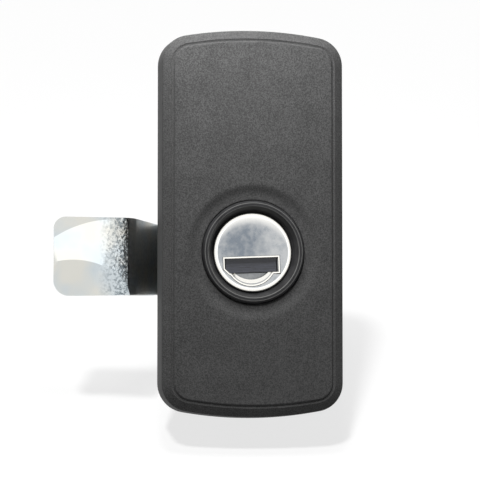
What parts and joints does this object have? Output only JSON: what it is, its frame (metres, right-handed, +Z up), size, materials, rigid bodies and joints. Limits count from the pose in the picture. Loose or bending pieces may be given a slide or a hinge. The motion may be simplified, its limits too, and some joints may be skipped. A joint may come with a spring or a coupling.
{
  "type": "compression lock",
  "caption": "Service-door compression lock: tall black plate with a keyed plug, and a cranked steel pawl that a quarter turn frees and pulls in.",
  "frame": {"origin": "key cylinder's axis where it crosses the plane in which the gasket meets the door", "axes": "+X right and +Z up as seen from outside the door, +Y into the door, along the key cylinder's axis"},
  "size_m": [0.073, 0.0507, 0.1],
  "materials": {
    "black_nylon": "fine spark texture",
    "gasket_rubber": "matt",
    "black_sleeve": "satin black coat",
    "spring_steel": "oiled",
    "turned_steel": "turned",
    "white_acetal": "moulded",
    "zinc_plate": "bright zinc plate",
    "die_cast_zinc": "die-cast",
    "stainless_cap": "satin face with polished edge",
    "wafer_brass": "stamped",
    "black_acetal": "moulded",
    "bright_chrome": "bright plated"
  },
  "bodies": {
    "housing": {"housing": "black_nylon", "face_gasket": "gasket_rubber", "cylinder_sleeve": "black_sleeve", "sleeve_oring": "gasket_rubber", "sleeve_snap_ring": "spring_steel", "helical_sleeve": "turned_steel", "spindle_bush": "white_acetal", "rear_cap": "black_nylon", "rear_cap_screws": "zinc_plate"},
    "plug": {"plug_core": "die_cast_zinc", "plug_cap": "stainless_cap", "wafers": "wafer_brass", "plug_snap_ring": "spring_steel", "shutter_pin": "turned_steel", "shutter_spring": "spring_steel", "drive_fork": "turned_steel", "fork_pin": "turned_steel"},
    "shutter": {"shutter": "black_acetal"},
    "pawl": {"spindle": "turned_steel", "cross_pin": "turned_steel", "draw_spring": "spring_steel", "pawl": "bright_chrome", "pawl_washer": "zinc_plate", "pawl_bolt": "zinc_plate"}
  },
  "joints": [
    {"name": "plug_turn", "type": "hinge", "parent": "housing", "child": "plug", "pos_m": [0, 0, 0], "axis": [0, 1, 0], "range_deg": [0, 90]},
    {"name": "pawl_draw", "type": "slide", "parent": "plug", "child": "pawl", "axis": [0, 1, 0], "range_m": [0, 0.004], "deforming": ["draw_spring"]},
    {"name": "shutter_flap", "type": "hinge", "parent": "plug", "child": "shutter", "pos_m": [0.00003, -0.0069, -0.00075], "axis": [0.9991, 0, 0.0419], "range_deg": [0, 80], "stiffness_Nm_per_rad": 0.0004, "springref_deg": -20.05, "deforming": ["shutter_spring"]}
  ],
  "couplings": [
    {"joint": "pawl_draw", "follows": "plug_turn", "m_per_rad": 0.0025465}
  ]
}
